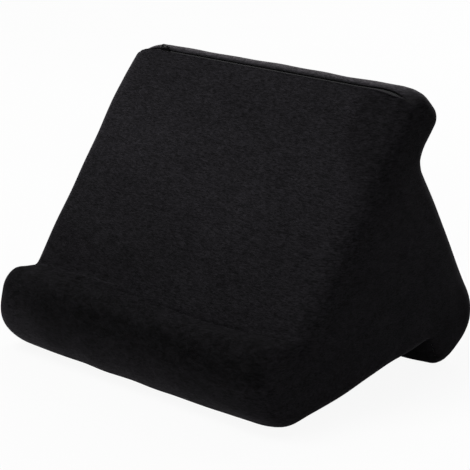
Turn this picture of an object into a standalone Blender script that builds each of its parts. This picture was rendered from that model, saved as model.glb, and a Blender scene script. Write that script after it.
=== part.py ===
"""Tablet cushion stand: a foam wedge with three rounded lobes in a sewn plush cover.

Each of the wedge's three faces ends in a notch, where the next lobe stands out as a ledge. The cover is six
panels sewn together along the notches and round the ends, with a zip along the top edge of the front face.
Lengths are in metres and angles in degrees. X runs along the ledge, +Y to the rear and +Z up, and the origin
is on the surface under the middle of the stand.
"""
import math

import bmesh
import bpy
import numpy as np

# Wedge: the triangle of the three faces, with the base from the front corner to the rear corner
STAND_WIDTH = 0.280
BASE_LENGTH = 0.268
FRONT_CORNER_ANGLE = 45.5
REAR_CORNER_ANGLE = 68.0

# Front lobe: places up the front face from the front corner, and out from that face
LEDGE_NOTCH_UP = 0.0845
LIP_UP = 0.067
LIP_OUT = 0.031
LEDGE_NOTCH_RADIUS = 0.006
LIP_RADIUS = 0.016
FRONT_CORNER_RADIUS = 0.0325

# Heel lobe: places ahead of the rear corner along the base and out from the base, or up the rear face
BASE_NOTCH_AHEAD = 0.068
HEEL_FRONT_AHEAD = 0.058
HEEL_FRONT_OUT = 0.025
HEEL_TOE_AHEAD = 0.025
HEEL_TOE_OUT = 0.040
HEEL_TOP_UP = 0.0165
BASE_NOTCH_RADIUS = 0.0065
HEEL_FRONT_RADIUS = 0.014
HEEL_TOE_RADIUS = 0.027
HEEL_TOP_RADIUS = 0.028

# Crest lobe: places down the rear face from the apex and out from it, or up the front face past the apex
REAR_NOTCH_DOWN = 0.0525
CREST_LOW_DOWN = 0.0375
CREST_LOW_OUT = 0.0345
CREST_HIGH_DOWN = 0.0085
CREST_HIGH_OUT = 0.027
TOP_SEAM_PAST = 0.008
REAR_NOTCH_RADIUS = 0.009
CREST_LOW_RADIUS = 0.013
CREST_HIGH_RADIUS = 0.022
TOP_SEAM_RADIUS = 0.004

# Rounding of the two ends, and where the end panels are sewn on, as an angle round that rounding
END_RADIUS = 0.015
END_SEAM_ANGLE = 50.0

# Flat strip that each lobe has where it stands on the surface, and the share of the rounding left beside it
FOOT_WIDTH = 0.009
FOOT_MARGIN = 0.01

# Cover
COVER_THICKNESS = 0.0015
CONTACT_GAP = 0.0003

# Zip: its mouth lies behind the top edge of the front face, and each tape is sewn under one edge of the mouth
ZIP_SETBACK = 0.0055
ZIP_MOUTH_WIDTH = 0.0018
ZIP_END_DISTANCE = 0.010
ZIP_MOUTH_TAPER = 0.002
TAPE_WIDTH = 0.012
TAPE_THICKNESS = 0.0005
TAPE_TAIL = 0.006
COIL_SPLIT = 0.0014
COIL_WIDTH = 0.0021
COIL_HEIGHT = 0.0020
COIL_EDGE = 0.0005

# Slider: a zinc casting that grips the chain through the mouth, with a low bridge and no pull tab
SLIDER_LENGTH = 0.008
SLIDER_PLATE_WIDTH = 0.0048
SLIDER_PLATE = 0.0008
SLIDER_NOSE = 0.0016
SLIDER_NOSE_SHARE = 0.6
SLIDER_WEB = 0.0008
BRIDGE_LENGTH = 0.0056
BRIDGE_WIDTH = 0.0018
BRIDGE_HEIGHT = 0.0016
BRIDGE_STRAP = 0.0007
BRIDGE_SLOPE = 0.0008
SLIDER_END_GAP = 0.002
POCKET_CLEARANCE = 0.0005

# Facets
ARC_STEP = 11.0
END_STEPS = 3
SMALLEST_RADIUS = 0.001
SHARP_ANGLE = 35.0

# Finishes: linear colour, roughness and metallic value
PLUSH_FINISH = ((0.012, 0.012, 0.013), 0.95, 0.0)
FOAM_FINISH = ((0.62, 0.60, 0.52), 0.9, 0.0)
TAPE_FINISH = ((0.010, 0.010, 0.011), 0.8, 0.0)
COIL_FINISH = ((0.015, 0.015, 0.016), 0.45, 0.0)
SLIDER_FINISH = ((0.020, 0.020, 0.022), 0.35, 0.6)


def sine(angle):
    return math.sin(math.radians(angle))


def unit(angle):
    """Direction at an angle from +Y towards +Z."""
    return np.array([math.cos(math.radians(angle)), math.sin(math.radians(angle))])


def turned(vector, angle):
    """A (y, z) vector turned by an angle from +Y towards +Z."""
    across, up = unit(angle)
    return np.array([vector[0] * across - vector[1] * up, vector[0] * up + vector[1] * across])


def heading(vector):
    """Angle of a (y, z) vector, from +Y towards +Z."""
    return math.degrees(math.atan2(vector[1], vector[0]))


def face_point(origin, angle, outward, distance, out):
    """Point at a distance along a face from its lower corner, and out from the face."""
    return origin + unit(angle) * distance + unit(angle + outward) * out


def wedge_corners():
    """Corners of the outline by name, as point and rounding radius, with the base along +Y.

    They run anticlockwise as seen from the right end, and start at the top seam.
    """
    front_corner = np.zeros(2)
    rear_corner = np.array([BASE_LENGTH, 0.0])
    rear_angle = 180.0 - REAR_CORNER_ANGLE
    front_length = BASE_LENGTH * sine(REAR_CORNER_ANGLE) / sine(FRONT_CORNER_ANGLE + REAR_CORNER_ANGLE)
    rear_length = BASE_LENGTH * sine(FRONT_CORNER_ANGLE) / sine(FRONT_CORNER_ANGLE + REAR_CORNER_ANGLE)

    def front(up, out=0.0):
        return face_point(front_corner, FRONT_CORNER_ANGLE, 90.0, up, out)

    def base(ahead, out=0.0):
        return face_point(rear_corner, 180.0, 90.0, ahead, out)

    def rear(up, out=0.0):
        return face_point(rear_corner, rear_angle, -90.0, up, out)

    return {
        "top_seam": (front(front_length + TOP_SEAM_PAST), TOP_SEAM_RADIUS),
        "ledge_notch": (front(LEDGE_NOTCH_UP), LEDGE_NOTCH_RADIUS),
        "lip": (front(LIP_UP, LIP_OUT), LIP_RADIUS),
        "front_corner": (front_corner, FRONT_CORNER_RADIUS),
        "base_notch": (base(BASE_NOTCH_AHEAD), BASE_NOTCH_RADIUS),
        "heel_front": (base(HEEL_FRONT_AHEAD, HEEL_FRONT_OUT), HEEL_FRONT_RADIUS),
        "heel_toe": (base(HEEL_TOE_AHEAD, HEEL_TOE_OUT), HEEL_TOE_RADIUS),
        "heel_top": (rear(HEEL_TOP_UP), HEEL_TOP_RADIUS),
        "rear_notch": (rear(rear_length - REAR_NOTCH_DOWN), REAR_NOTCH_RADIUS),
        "crest_low": (rear(rear_length - CREST_LOW_DOWN, CREST_LOW_OUT), CREST_LOW_RADIUS),
        "crest_high": (rear(rear_length - CREST_HIGH_DOWN, CREST_HIGH_OUT), CREST_HIGH_RADIUS),
    }


def steps_for(sweep):
    """Number of facets on a rounding."""
    return max(1, round(abs(sweep) / ARC_STEP))


class Arc:
    """Rounding of one corner: centre, radius, angle of its first point, and signed sweep."""

    def __init__(self, centre, radius, start, sweep):
        self.centre = centre
        self.radius = radius
        self.start = start
        self.sweep = sweep

    def point(self, share):
        """Point at a share of the sweep."""
        return self.centre + self.radius * unit(self.start + self.sweep * share)

    def points(self, first=0.0, last=1.0, steps=None):
        """Points from one share of the sweep to another, in steps of about ARC_STEP."""
        if steps is None:
            steps = steps_for(self.sweep * (last - first))
        return [self.point(first + (last - first) * k / steps) for k in range(steps + 1)]


class Outline:
    """Rounded outline of the stand, and the same outline moved inwards."""

    def __init__(self, corners):
        self.names = list(corners)
        self.vertices = np.array([corners[name][0] for name in self.names])
        edges = np.roll(self.vertices, -1, axis=0) - self.vertices
        self.lengths = np.linalg.norm(edges, axis=1)
        self.directions = edges / self.lengths[:, None]
        self.turns = [self.turn(i) for i in range(len(self.names))]
        self.radii = self.fitted_radii([corners[name][1] for name in self.names])

    def turn(self, i):
        """Signed turn of the outline at a corner, positive where it is convex."""
        before = self.directions[i - 1]
        after = self.directions[i]
        return math.degrees(math.atan2(before[0] * after[1] - before[1] * after[0], before @ after))

    def fitted_radii(self, wanted):
        """Corner radii, made smaller where two roundings would meet on the edge between them."""
        count = len(wanted)
        tangents = [wanted[i] * math.tan(math.radians(abs(self.turns[i]) / 2)) for i in range(count)]
        fitted = []
        for i in range(count):
            share_before = self.lengths[i - 1] / (tangents[i - 1] + tangents[i])
            share_after = self.lengths[i] / (tangents[i] + tangents[(i + 1) % count])
            fitted.append(wanted[i] * min(1.0, share_before, share_after))
        return fitted

    def index(self, name):
        return self.names.index(name)

    def inner_normal(self, i):
        """Inward normal of the edge that leaves a corner."""
        return turned(self.directions[i], 90.0)

    def arc(self, name, inset=0.0):
        """Rounding of a corner, on the outline moved inwards."""
        i = self.index(name)
        before = self.directions[i - 1]
        after = self.directions[i]
        normal_before = self.inner_normal(i - 1)
        normal_after = self.inner_normal(i)
        bisector = (normal_before + normal_after) / (1.0 + normal_before @ normal_after)
        vertex = self.vertices[i] + bisector * inset
        turn = self.turns[i]
        side = math.copysign(1.0, turn)
        radius = max(self.radii[i] - side * inset, SMALLEST_RADIUS)
        tangent = radius * math.tan(math.radians(abs(turn) / 2))
        first = vertex - before * tangent
        centre = first + normal_before * side * radius
        return Arc(centre, radius, heading(first - centre), turn)

    def notch_halves(self, name, inset, gap):
        """Points of a notch's rounding before and after its middle, with a gap at the middle."""
        arc = self.arc(name, inset)
        half_gap = math.degrees(gap / 2 / arc.radius) / abs(arc.sweep)
        steps = steps_for(arc.sweep / 2)
        return arc.points(0.0, 0.5 - half_gap, steps), arc.points(0.5 + half_gap, 1.0, steps)

    def foot(self, name, inset):
        """Points of a lobe's rounding with its flat strip, which faces down."""
        arc = self.arc(name, inset)
        outer_radius = self.radii[self.index(name)]
        half_angle = math.degrees(math.asin(FOOT_WIDTH / 2 / outer_radius))
        down = (-90.0 - arc.start) % 360.0
        first = max((down - half_angle) / arc.sweep, FOOT_MARGIN)
        last = min((down + half_angle) / arc.sweep, 1.0 - FOOT_MARGIN)
        return arc.points(0.0, first) + arc.points(last, 1.0)


def foot_height(outline, name, tilt):
    """Height of a lobe's flat strip when the outline is turned by a tilt."""
    arc = outline.arc(name)
    depth = math.sqrt(arc.radius ** 2 - (FOOT_WIDTH / 2) ** 2)
    return turned(arc.centre, tilt)[1] - depth


def standing_tilt(outline):
    """Turn that brings the front lobe and the heel down to one level."""
    front = outline.arc("front_corner")
    heel = outline.arc("heel_toe")
    between = heel.centre - front.centre
    front_depth = math.sqrt(front.radius ** 2 - (FOOT_WIDTH / 2) ** 2)
    heel_depth = math.sqrt(heel.radius ** 2 - (FOOT_WIDTH / 2) ** 2)
    rise = math.degrees(math.asin((heel_depth - front_depth) / np.linalg.norm(between)))
    return rise - heading(between)


def standing_outline():
    """Outline as it stands, with its feet at height 0 and its depth centred on the origin."""
    corners = wedge_corners()
    wedge = Outline(corners)
    tilt = standing_tilt(wedge)
    rise = -foot_height(wedge, "front_corner", tilt)
    turned_corners = {name: (turned(point, tilt), radius) for name, (point, radius) in corners.items()}
    across = [point[0] for point in whole_loop(Outline(turned_corners), 0.0)]
    shift = np.array([-(min(across) + max(across)) / 2, rise])
    return Outline({name: (point + shift, radius) for name, (point, radius) in turned_corners.items()})


def whole_loop(outline, inset):
    """All points of the outline moved inwards, anticlockwise from the top seam."""
    points = []
    for name in outline.names:
        if name in ("front_corner", "heel_toe"):
            points += outline.foot(name, inset)
        elif name.endswith("notch"):
            before, after = outline.notch_halves(name, inset, 0.0)
            points += before + after[1:]
        else:
            points += outline.arc(name, inset).points()
    return points


def crest_top(outline, back, depth):
    """Point on the crest's flat top, behind the top seam's corner and under the cover's face."""
    i = outline.index("crest_high")
    return outline.vertices[outline.index("top_seam")] - outline.directions[i] * back + (
        outline.inner_normal(i) * depth)


def front_face(outline, down, depth):
    """Point on the front face, down from the top seam's corner and under the cover's face."""
    i = outline.index("top_seam")
    return outline.vertices[i] + outline.directions[i] * down + outline.inner_normal(i) * depth


def end_rounding(depth, angle):
    """Distance from the middle and inset of a surface under the cover's face, round an end's edge."""
    radius = END_RADIUS - depth
    distance = STAND_WIDTH / 2 - END_RADIUS + radius * math.sin(math.radians(angle))
    return distance, END_RADIUS - radius * math.cos(math.radians(angle))


def seam_angle(depth, side):
    """Angle of the end seam's cut, half a gap to one side of the seam."""
    return END_SEAM_ANGLE + side * math.degrees(CONTACT_GAP / 2 / (END_RADIUS - depth))


def panel_stations(depth, zipped):
    """Places along X of a long panel's sections, as x, inset and whether the zip's mouth is open."""
    last = seam_angle(depth, -1)
    right = [end_rounding(depth, last * k / END_STEPS) + (False,) for k in range(END_STEPS + 1)]
    if zipped:
        mouth = zip_mouth_half()
        right = [(mouth, depth, True), (mouth + ZIP_MOUTH_TAPER, depth, False)] + right
    left = [(-x, inset, is_open) for x, inset, is_open in reversed(right)]
    return left + right


def zip_mouth_half():
    """Half of the zip mouth's length."""
    return STAND_WIDTH / 2 - END_RADIUS - ZIP_END_DISTANCE


def half_mouth(is_open):
    """Half of the distance between the two panels at the top seam."""
    return ZIP_MOUTH_WIDTH / 2 if is_open else CONTACT_GAP / 2


def front_face_section(outline, inset, is_open):
    """From the zip over the front edge and down to the ledge notch."""
    edge = crest_top(outline, ZIP_SETBACK - half_mouth(is_open), inset)
    notch = outline.notch_halves("ledge_notch", inset, CONTACT_GAP)[0]
    return [edge] + outline.arc("top_seam", inset).points() + notch


def lip_base_section(outline, inset, is_open):
    """From the ledge notch over the lip and along the base to the base notch."""
    first = outline.notch_halves("ledge_notch", inset, CONTACT_GAP)[1]
    last = outline.notch_halves("base_notch", inset, CONTACT_GAP)[0]
    return first + outline.arc("lip", inset).points() + outline.foot("front_corner", inset) + last


def heel_back_section(outline, inset, is_open):
    """From the base notch round the heel and up the rear face to the rear notch."""
    first = outline.notch_halves("base_notch", inset, CONTACT_GAP)[1]
    last = outline.notch_halves("rear_notch", inset, CONTACT_GAP)[0]
    heel = outline.arc("heel_front", inset).points() + outline.foot("heel_toe", inset)
    return first + heel + outline.arc("heel_top", inset).points() + last


def crest_section(outline, inset, is_open):
    """From the rear notch round the crest to the zip."""
    first = outline.notch_halves("rear_notch", inset, CONTACT_GAP)[1]
    round_crest = outline.arc("crest_low", inset).points() + outline.arc("crest_high", inset).points()
    return first + round_crest + [crest_top(outline, ZIP_SETBACK + half_mouth(is_open), inset)]


def make_material(name, finish):
    """Principled material with one finish."""
    colour, roughness, metallic = finish
    material = bpy.data.materials.new(name)
    material.use_nodes = True
    shader = material.node_tree.nodes["Principled BSDF"]
    shader.inputs["Base Color"].default_value = (*colour, 1.0)
    shader.inputs["Roughness"].default_value = roughness
    shader.inputs["Metallic"].default_value = metallic
    return material


def make_object(name, bm, material, smooth=True):
    """Object from a closed mesh, with its faces pointing out."""
    bmesh.ops.recalc_face_normals(bm, faces=bm.faces)
    mesh = bpy.data.meshes.new(name)
    bm.to_mesh(mesh)
    bm.free()
    if smooth:
        mesh.shade_smooth()
        mesh.set_sharp_from_angle(angle=math.radians(SHARP_ANGLE))
    mesh.materials.append(material)
    item = bpy.data.objects.new(name, mesh)
    bpy.context.scene.collection.objects.link(item)
    return item


def add_row(bm, x, section):
    """One row of vertices: a (y, z) section at a place along X."""
    return [bm.verts.new((x, point[0], point[1])) for point in section]


def add_faces(bm, rows, closed=False):
    """Four-sided faces between each row and the next."""
    for near, far in zip(rows, rows[1:]):
        count = len(near) if closed else len(near) - 1
        for k in range(count):
            after = (k + 1) % len(near)
            bm.faces.new((near[k], near[after], far[after], far[k]))


def make_panel(name, outline, section, material, zipped=False):
    """Sheet of the cover that follows a section of the outline from end seam to end seam."""
    bm = bmesh.new()
    sides = []
    for depth in (0.0, COVER_THICKNESS):
        stations = panel_stations(depth, zipped)
        sides.append([add_row(bm, x, section(outline, inset, is_open)) for x, inset, is_open in stations])
    outer, inner = sides
    add_faces(bm, outer)
    add_faces(bm, inner)
    add_faces(bm, [outer[0], inner[0]])
    add_faces(bm, [outer[-1], inner[-1]])
    add_faces(bm, [[row[0] for row in outer], [row[0] for row in inner]])
    add_faces(bm, [[row[-1] for row in outer], [row[-1] for row in inner]])
    return make_object(name, bm, material)


def make_end_panel(name, outline, side, material):
    """Panel that closes one end, with side -1 on the left and 1 on the right."""
    bm = bmesh.new()
    rims = []
    for depth in (0.0, COVER_THICKNESS):
        first = seam_angle(depth, 1)
        rows = []
        for k in range(END_STEPS + 1):
            x, inset = end_rounding(depth, first + (90.0 - first) * k / END_STEPS)
            rows.append(add_row(bm, side * x, whole_loop(outline, inset)))
        add_faces(bm, rows, closed=True)
        bm.faces.new(rows[-1])
        rims.append(rows[0])
    add_faces(bm, rims, closed=True)
    return make_object(name, bm, material)


def zip_reach(outline):
    """How far the tapes go: the share of the crest's rounding, and the way down the front face."""
    crest = outline.arc("crest_high", tape_top())
    seam = outline.arc("top_seam", tape_top())
    corner = outline.vertices[outline.index("top_seam")]
    flat_behind = (corner - crest.point(1.0)) @ outline.directions[outline.index("crest_high")]
    over_crest = TAPE_WIDTH - (flat_behind - ZIP_SETBACK - ZIP_MOUTH_WIDTH / 2)
    share = min(1.0, over_crest / (math.radians(crest.sweep) * crest.radius))
    flat_before = (corner - seam.point(0.0)) @ outline.directions[outline.index("crest_high")]
    over_front = TAPE_WIDTH - (ZIP_SETBACK - ZIP_MOUTH_WIDTH / 2 - flat_before)
    down = over_front - math.radians(seam.sweep) * seam.radius + flat_before
    return share, down


def tape_top():
    """Depth of the tapes' upper side under the cover's face."""
    return COVER_THICKNESS + CONTACT_GAP


def tape_bottom():
    """Depth of the tapes' lower side."""
    return tape_top() + TAPE_THICKNESS


def coil_top():
    """Depth of the coils' upper side."""
    return tape_bottom() + CONTACT_GAP


def coil_bottom():
    """Depth of the coils' lower side."""
    return coil_top() + COIL_HEIGHT


def chain_half_width():
    """Half of the width over both coils."""
    return COIL_SPLIT / 2 + COIL_WIDTH


def crest_run(outline, depth, extra=0.0):
    """Points under the crest where the rear tape lies, from its far edge to the flat top."""
    arc = outline.arc("crest_high", depth)
    share = zip_reach(outline)[0] + extra / (math.radians(arc.sweep) * arc.radius)
    steps = max(1, math.ceil(arc.sweep * share / ARC_STEP))
    return [arc.point(1.0 - share + share * k / steps) for k in range(steps + 1)]


def front_run(outline, depth, extra=0.0):
    """Points under the front edge where the front tape lies, from the flat top to its far edge."""
    down = zip_reach(outline)[1] + extra
    return outline.arc("top_seam", depth).points() + [front_face(outline, down, depth)]


def make_tape(name, outline, rear, material):
    """One woven tape of the zip, sewn under its panel."""
    bm = bmesh.new()
    half_length = zip_mouth_half() + TAPE_TAIL
    sections = []
    for depth in (tape_top(), tape_bottom()):
        if rear:
            mouth_edge = crest_top(outline, ZIP_SETBACK + ZIP_MOUTH_WIDTH / 2, depth)
            sections.append(crest_run(outline, depth) + [mouth_edge])
        else:
            mouth_edge = crest_top(outline, ZIP_SETBACK - ZIP_MOUTH_WIDTH / 2, depth)
            sections.append([mouth_edge] + front_run(outline, depth))
    loop = sections[0] + sections[1][::-1]
    return extrude_loop(name, bm, loop, half_length, material)


def extrude_loop(name, bm, loop, half_length, material):
    """Solid with one (y, z) section, the same length to both sides of the middle."""
    rows = [add_row(bm, x, loop) for x in (-half_length, half_length)]
    add_faces(bm, rows, closed=True)
    for row in rows:
        bm.faces.new(row)
    return make_object(name, bm, material)


def make_coil(name, outline, side, material):
    """One half of the zip's chain as a bar of the coil's outer shape, with side 1 behind the mouth."""
    near = COIL_SPLIT / 2
    far = chain_half_width()
    top = coil_top()
    bottom = coil_bottom()
    edge = COIL_EDGE
    shape = [
        (near + edge, top), (far - edge, top), (far, top + edge), (far, bottom - edge),
        (far - edge, bottom), (near + edge, bottom), (near, bottom - edge), (near, top + edge)]
    loop = [crest_top(outline, ZIP_SETBACK + side * across, depth) for across, depth in shape]
    return extrude_loop(name, bmesh.new(), loop, zip_mouth_half(), material)


def make_pocket(outline, material):
    """Cutter for the room that the zip takes in the foam."""
    floor = tape_bottom() + CONTACT_GAP
    outside = COVER_THICKNESS / 2
    chamber_half = chain_half_width() + POCKET_CLEARANCE
    chamber_depth = coil_bottom() + CONTACT_GAP + SLIDER_PLATE + POCKET_CLEARANCE
    behind = ZIP_SETBACK + chamber_half
    before = ZIP_SETBACK - chamber_half
    inner = crest_run(outline, floor, CONTACT_GAP) + [
        crest_top(outline, behind, floor),
        crest_top(outline, behind, chamber_depth),
        crest_top(outline, before, chamber_depth),
        crest_top(outline, before, floor)] + front_run(outline, floor, CONTACT_GAP)
    outer = crest_run(outline, outside, CONTACT_GAP) + front_run(outline, outside, CONTACT_GAP)
    half_length = zip_mouth_half() + TAPE_TAIL + CONTACT_GAP
    cutter = extrude_loop("zip_pocket_cutter", bmesh.new(), outer + inner[::-1], half_length, material)
    cutter.hide_render = True
    cutter.display_type = "WIRE"
    return cutter


def make_foam(outline, material, cutter):
    """Foam wedge that fills the cover, with room for the zip under the top seam."""
    bm = bmesh.new()
    depth = COVER_THICKNESS + CONTACT_GAP
    steps = 2 * END_STEPS
    right = [end_rounding(depth, 90.0 * k / steps) for k in range(steps + 1)]
    stations = [(-x, inset) for x, inset in reversed(right)] + right
    rows = [add_row(bm, x, whole_loop(outline, inset)) for x, inset in stations]
    add_faces(bm, rows, closed=True)
    bm.faces.new(rows[0])
    bm.faces.new(rows[-1])
    foam = make_object("foam_core", bm, material)
    cut = foam.modifiers.new("zip_pocket", "BOOLEAN")
    cut.operation = "DIFFERENCE"
    cut.solver = "EXACT"
    cut.object = cutter
    return foam


def make_slider(outline, material):
    """Slider at the zip's left end: two plates joined by a web through the mouth, and a bridge on top.

    Its origin is in the middle of the mouth, on the line that it slides along.
    """
    park = -zip_mouth_half() + SLIDER_END_GAP + SLIDER_LENGTH / 2
    mouth = crest_top(outline, ZIP_SETBACK, 0.0)
    top_plate_low = -CONTACT_GAP
    top_plate_high = top_plate_low - SLIDER_PLATE
    low_plate_high = coil_bottom() + CONTACT_GAP
    low_plate_low = low_plate_high + SLIDER_PLATE
    web = SLIDER_WEB / 2

    def section(share):
        top = SLIDER_PLATE_WIDTH / 2 * share
        low = chain_half_width() * share
        right = [
            (top, top_plate_high), (top, top_plate_low), (web, top_plate_low), (web, low_plate_high),
            (low, low_plate_high), (low, low_plate_low)]
        shape = right + [(-across, depth) for across, depth in reversed(right)]
        return [crest_top(outline, ZIP_SETBACK + across, depth) - mouth for across, depth in shape]

    half = SLIDER_LENGTH / 2
    bm = bmesh.new()
    stations = [
        (-half, SLIDER_NOSE_SHARE), (-half + SLIDER_NOSE, 1.0),
        (half - SLIDER_NOSE, 1.0), (half, SLIDER_NOSE_SHARE)]
    rows = [add_row(bm, x, section(share)) for x, share in stations]
    add_faces(bm, rows, closed=True)
    bm.faces.new(rows[0])
    bm.faces.new(rows[-1])
    slider = make_object("zip_slider", bm, material)
    slider.location = (park, mouth[0], mouth[1])

    bridge = make_bridge(outline, top_plate_high, material)
    bridge.location = slider.location
    join = slider.modifiers.new("bridge", "BOOLEAN")
    join.operation = "UNION"
    join.solver = "EXACT"
    join.object = bridge
    return slider


def make_bridge(outline, plate, material):
    """Low strap over the slider's top plate, with its feet sunk into the plate."""
    half = BRIDGE_LENGTH / 2
    sunk = plate + SLIDER_PLATE / 2
    crown = plate - BRIDGE_HEIGHT
    under = crown + BRIDGE_STRAP
    mouth = crest_top(outline, ZIP_SETBACK, 0.0)
    arch = [
        (-half, sunk), (-half, crown + BRIDGE_SLOPE), (-half + BRIDGE_SLOPE, crown),
        (half - BRIDGE_SLOPE, crown), (half, crown + BRIDGE_SLOPE), (half, sunk),
        (half - BRIDGE_STRAP, sunk), (half - BRIDGE_STRAP, under), (-half + BRIDGE_STRAP, under),
        (-half + BRIDGE_STRAP, sunk)]
    bm = bmesh.new()
    rows = []
    for across in (-BRIDGE_WIDTH / 2, BRIDGE_WIDTH / 2):
        row = []
        for x, depth in arch:
            y, z = crest_top(outline, ZIP_SETBACK + across, depth) - mouth
            row.append(bm.verts.new((x, y, z)))
        rows.append(row)
    add_faces(bm, rows, closed=True)
    for row in rows:
        bm.faces.new(row)
    bridge = make_object("bridge_shape", bm, material)
    bridge.hide_render = True
    bridge.display_type = "WIRE"
    return bridge


def clear_scene():
    for item in list(bpy.data.objects):
        bpy.data.objects.remove(item, do_unlink=True)


def build():
    """Make every piece of the stand."""
    clear_scene()
    outline = standing_outline()
    plush = make_material("plush", PLUSH_FINISH)
    foam = make_material("foam", FOAM_FINISH)
    tape = make_material("zip_tape", TAPE_FINISH)
    coil = make_material("zip_coil", COIL_FINISH)
    zinc = make_material("zip_slider", SLIDER_FINISH)

    make_foam(outline, foam, make_pocket(outline, foam))
    make_panel("front_face_panel", outline, front_face_section, plush, zipped=True)
    make_panel("lip_base_panel", outline, lip_base_section, plush)
    make_panel("heel_back_panel", outline, heel_back_section, plush)
    make_panel("crest_panel", outline, crest_section, plush, zipped=True)
    make_end_panel("end_panel_left", outline, -1, plush)
    make_end_panel("end_panel_right", outline, 1, plush)
    make_tape("zip_tape_front", outline, False, tape)
    make_tape("zip_tape_rear", outline, True, tape)
    make_coil("zip_coil_front", outline, -1, coil)
    make_coil("zip_coil_rear", outline, 1, coil)
    make_slider(outline, zinc)


build()
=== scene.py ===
import math

import bpy
import numpy as np
from mathutils import Matrix, Vector, geometry
from mathutils.bvhtree import BVHTree


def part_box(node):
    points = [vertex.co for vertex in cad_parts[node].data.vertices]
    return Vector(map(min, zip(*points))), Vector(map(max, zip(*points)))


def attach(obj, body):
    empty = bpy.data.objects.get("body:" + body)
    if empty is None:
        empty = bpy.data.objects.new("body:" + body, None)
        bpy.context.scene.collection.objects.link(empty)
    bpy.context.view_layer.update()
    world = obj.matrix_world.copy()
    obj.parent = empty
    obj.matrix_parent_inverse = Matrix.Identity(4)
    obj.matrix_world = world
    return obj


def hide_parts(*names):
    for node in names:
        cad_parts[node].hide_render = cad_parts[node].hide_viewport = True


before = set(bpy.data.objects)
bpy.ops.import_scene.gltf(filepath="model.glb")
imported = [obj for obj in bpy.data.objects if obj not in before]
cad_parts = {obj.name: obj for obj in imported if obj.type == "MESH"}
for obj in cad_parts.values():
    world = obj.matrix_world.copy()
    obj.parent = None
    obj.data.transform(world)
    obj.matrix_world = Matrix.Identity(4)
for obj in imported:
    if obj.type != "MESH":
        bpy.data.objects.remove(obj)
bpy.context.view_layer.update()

# Corners of the outline as y, z and rounding radius, from the top edge down the front face and round
CORNERS = {
    "top_seam": (0.02931, 0.22082, 0.004),
    "ledge_notch": (-0.08251, 0.06172, 0.006),
    "lip": (-0.11793, 0.06523, 0.016),
    "front_corner": (-0.13110, -0.00741, 0.0325),
    "base_notch": (0.06622, 0.02525, 0.0065),
    "heel_front": (0.08017, 0.00222, 0.014),
    "heel_toe": (0.11517, -0.00719, 0.027),
    "heel_top": (0.12471, 0.05044, 0.028),
    "rear_notch": (0.05206, 0.16946, 0.015),
    "crest_low": (0.07369, 0.20024, 0.015),
    "crest_high": (0.05218, 0.22108, 0.022),
}
SMALLEST_RADIUS = 0.001

# Cover
STAND_WIDTH = 0.280
END_RADIUS = 0.015
END_SEAM_ANGLE = 50.0
COVER_THICKNESS = 0.0015
FOAM_DEPTH = 0.0055
FOAM_ZIP_DEPTH = 0.0100
FOAM_ZIP_FADE = (0.010, 0.016)
SEAM_GAP = 0.00002

# Softness of the ends round the outline: corner, share of its edge or None, reach along X and depth
END_SOFTNESS = (
    ("top_seam", None, 0.042, 0.0150),
    ("top_seam", 0.16, 0.026, 0.0150),
    ("top_seam", 0.5, 0.018, 0.0150),
    ("ledge_notch", None, 0.011, 0.0110),
    ("lip", None, 0.014, 0.0130),
    ("front_corner", None, 0.024, 0.0130),
    ("front_corner", 0.25, 0.010, 0.0090),
    ("base_notch", None, 0.008, 0.0080),
    ("heel_front", None, 0.010, 0.0100),
    ("heel_toe", None, 0.012, 0.0120),
    ("heel_top", None, 0.016, 0.0150),
    ("rear_notch", None, 0.018, 0.0150),
    ("crest_low", None, 0.016, 0.0110),
    ("crest_high", None, 0.024, 0.0125),
)
LEFT_REACH = 0.028
SOFT_BLEND = 0.012
SOFT_SAMPLES = 13
DEPTH_LEVELS = 25

# Grids of the cover: steps near the seams and away from them, on the fine and on the rough cover
FINE_STEPS = (0.0007, 0.0032)
ROUGH_STEPS = (0.006, 0.006)
FINE_ARC_STEP = 12.0
ROUGH_ARC_STEP = 24.0
FINE_END_STEP = 0.0022
STEP_SAMPLES = 400
STEP_GROWTH = 0.3
CAP_ROW_PITCH = 0.866
CAP_CLEARANCE = 0.6

# Tolerances: for an end's triangles, for a point on a seam, and for lengths near zero
CAP_TOLERANCE = 1e-7
ON_SEAM = 1e-6
TINY = 1e-9

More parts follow.
